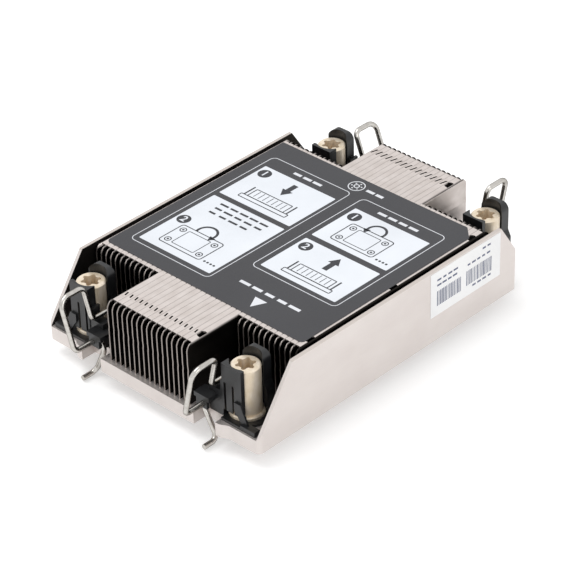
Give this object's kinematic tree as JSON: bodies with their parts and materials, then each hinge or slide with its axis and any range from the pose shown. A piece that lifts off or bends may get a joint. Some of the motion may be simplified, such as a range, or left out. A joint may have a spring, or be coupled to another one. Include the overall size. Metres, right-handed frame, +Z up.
{
  "type": "server processor heatsink",
  "caption": "Low-profile passive heatsink: a folded fin stack in a nickel-plated channel base, with captive corner nuts in dark plastic holders, swinging bent wires and a film label.",
  "frame": {"origin": "centre of the four captive nuts in plan, on the face that touches the processor", "axes": "+Z up away from the processor, +Y the way the air flows, +X to the right seen from the air inlet"},
  "size_m": [0.0781, 0.1238, 0.0276],
  "materials": {
    "nickel_plate": "satin nickel plate, warm pinkish grey",
    "ground_plate": "fine-ground nickel plate over copper",
    "pipe_metal": "plated pipe, ground flush",
    "fin_sheet": "nickel-plated sheet",
    "nut_plate": "warm tan plating, satin",
    "charcoal_plastic": "moulded glass-filled plastic",
    "bright_wire": "bright nickel-plated spring wire",
    "label_film": "matt printed film",
    "white_paper": "matt white printed label"
  },
  "bodies": {
    "heatsink": {"channel_base": "nickel_plate", "contact_plate": "ground_plate", "heat_pipe_1": "pipe_metal", "heat_pipe_2": "pipe_metal", "heat_pipe_3": "pipe_metal", "fin_01": "fin_sheet", "fin_02": "fin_sheet", "fin_03": "fin_sheet", "fin_04": "fin_sheet", "fin_05": "fin_sheet", "fin_06": "fin_sheet", "fin_07": "fin_sheet", "fin_08": "fin_sheet", "fin_09": "fin_sheet", "fin_10": "fin_sheet", "fin_11": "fin_sheet", "fin_12": "fin_sheet", "fin_13": "fin_sheet", "fin_14": "fin_sheet", "fin_15": "fin_sheet", "fin_16": "fin_sheet", "fin_17": "fin_sheet", "fin_18": "fin_sheet", "fin_19": "fin_sheet", "fin_20": "fin_sheet", "fin_21": "fin_sheet", "fin_22": "fin_sheet", "fin_23": "fin_sheet", "fin_24": "fin_sheet", "fin_25": "fin_sheet", "fin_26": "fin_sheet", "fin_27": "fin_sheet", "fin_28": "fin_sheet", "fin_29": "fin_sheet", "fin_30": "fin_sheet", "fin_31": "fin_sheet", "fin_32": "fin_sheet", "fin_33": "fin_sheet", "fin_34": "fin_sheet", "fin_35": "fin_sheet", "fin_36": "fin_sheet", "fin_37": "fin_sheet", "fin_38": "fin_sheet", "fin_39": "fin_sheet", "fin_40": "fin_sheet", "fin_41": "fin_sheet", "retainer_front_left": "charcoal_plastic", "retainer_front_right": "charcoal_plastic", "retainer_back_left": "charcoal_plastic", "retainer_back_right": "charcoal_plastic", "top_label": "label_film", "side_sticker": "white_paper"},
    "nut_front_left": {"nut_front_left": "nut_plate"},
    "wire_front_left": {"wire_front_left": "bright_wire"},
    "nut_front_right": {"nut_front_right": "nut_plate"},
    "wire_front_right": {"wire_front_right": "bright_wire"},
    "nut_back_left": {"nut_back_left": "nut_plate"},
    "wire_back_left": {"wire_back_left": "bright_wire"},
    "nut_back_right": {"nut_back_right": "nut_plate"},
    "wire_back_right": {"wire_back_right": "bright_wire"}
  },
  "joints": [
    {"name": "nut_front_left_spin", "type": "hinge", "parent": "heatsink", "child": "nut_front_left", "pos_m": [-0.0284, -0.0465, 0.0051], "axis": [0, 0, 1], "continuous": true},
    {"name": "nut_front_right_spin", "type": "hinge", "parent": "heatsink", "child": "nut_front_right", "pos_m": [0.0284, -0.0465, 0.0051], "axis": [0, 0, 1], "continuous": true},
    {"name": "nut_back_left_spin", "type": "hinge", "parent": "heatsink", "child": "nut_back_left", "pos_m": [-0.0284, 0.0465, 0.0051], "axis": [0, 0, 1], "continuous": true},
    {"name": "nut_back_right_spin", "type": "hinge", "parent": "heatsink", "child": "nut_back_right", "pos_m": [0.0284, 0.0465, 0.0051], "axis": [0, 0, 1], "continuous": true},
    {"name": "wire_front_left_swing", "type": "hinge", "parent": "heatsink", "child": "wire_front_left", "pos_m": [-0.02044, -0.05225, 0.01225], "axis": [0, -1, 0], "range_deg": [-14.3, 7.7]},
    {"name": "wire_front_right_swing", "type": "hinge", "parent": "heatsink", "child": "wire_front_right", "pos_m": [0.02044, -0.05225, 0.01225], "axis": [0, 1, 0], "range_deg": [-10.5, 11.5]},
    {"name": "wire_back_left_swing", "type": "hinge", "parent": "heatsink", "child": "wire_back_left", "pos_m": [-0.02044, 0.05345, 0.01225], "axis": [0, -1, 0], "range_deg": [-18.1, 3.9]},
    {"name": "wire_back_right_swing", "type": "hinge", "parent": "heatsink", "child": "wire_back_right", "pos_m": [0.02044, 0.05345, 0.01225], "axis": [0, 1, 0], "range_deg": [-7.5, 14.5]}
  ]
}
